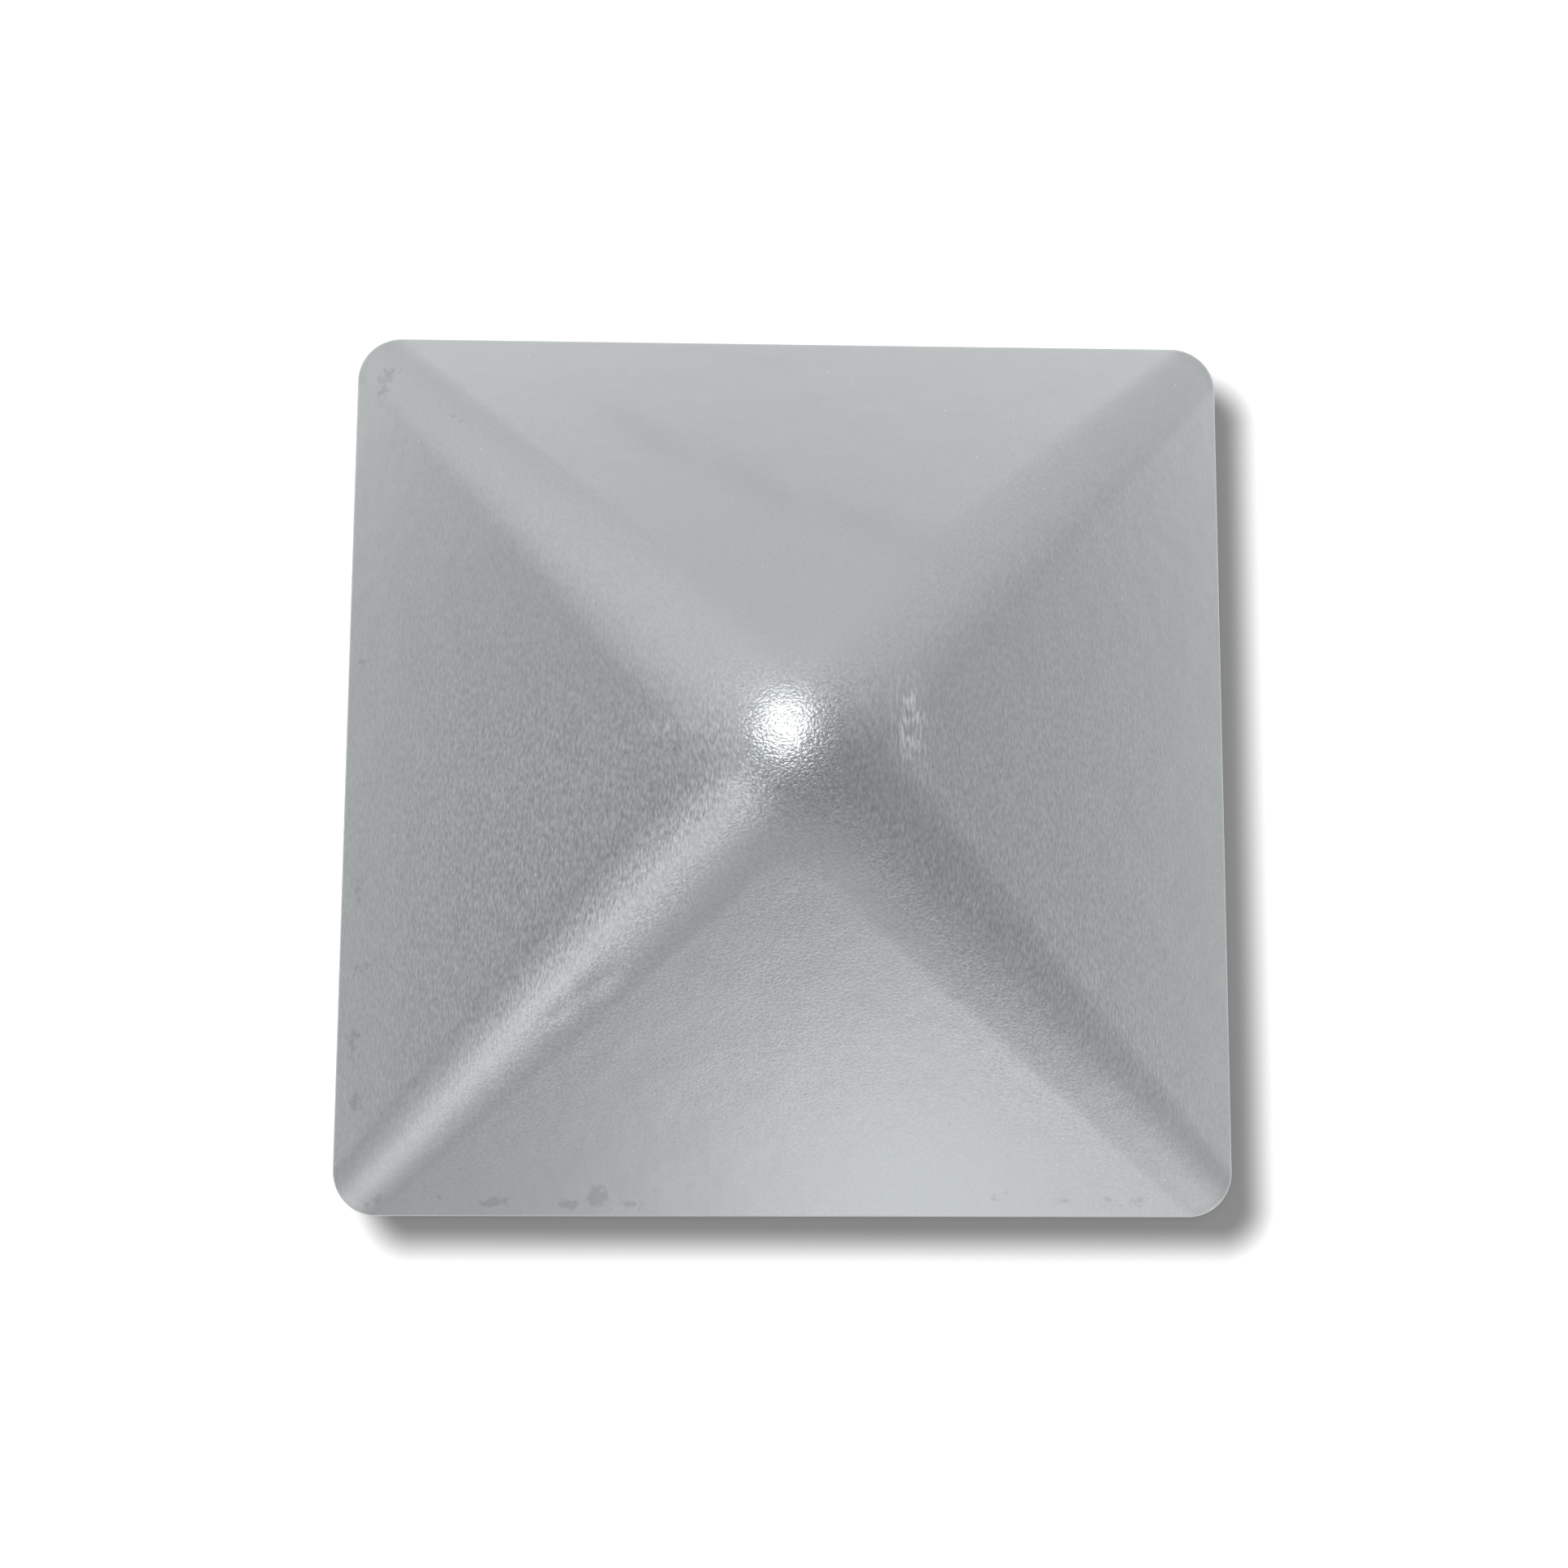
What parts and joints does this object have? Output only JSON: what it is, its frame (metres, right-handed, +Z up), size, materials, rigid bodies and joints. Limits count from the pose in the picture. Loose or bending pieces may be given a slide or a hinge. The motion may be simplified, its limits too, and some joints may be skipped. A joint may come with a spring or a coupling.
{
  "type": "pyramid post cap",
  "caption": "Pressed steel pyramid cap that closes a square post: four sloping faces, soft ridges, a domed crown, and a hollow underside with a narrow flat rim.",
  "frame": {"origin": "middle of the rim's plane, under the crown", "axes": "+Z up through the crown, +X and +Y square to two sides of the cap"},
  "size_m": [0.1, 0.1, 0.022],
  "materials": {
    "pressed_steel": "bare cold-rolled sheet, satin as pressed, with a faint orange peel where it was stretched"
  },
  "bodies": {
    "root": {"pyramid_cap": "pressed_steel"}
  },
  "joints": []
}
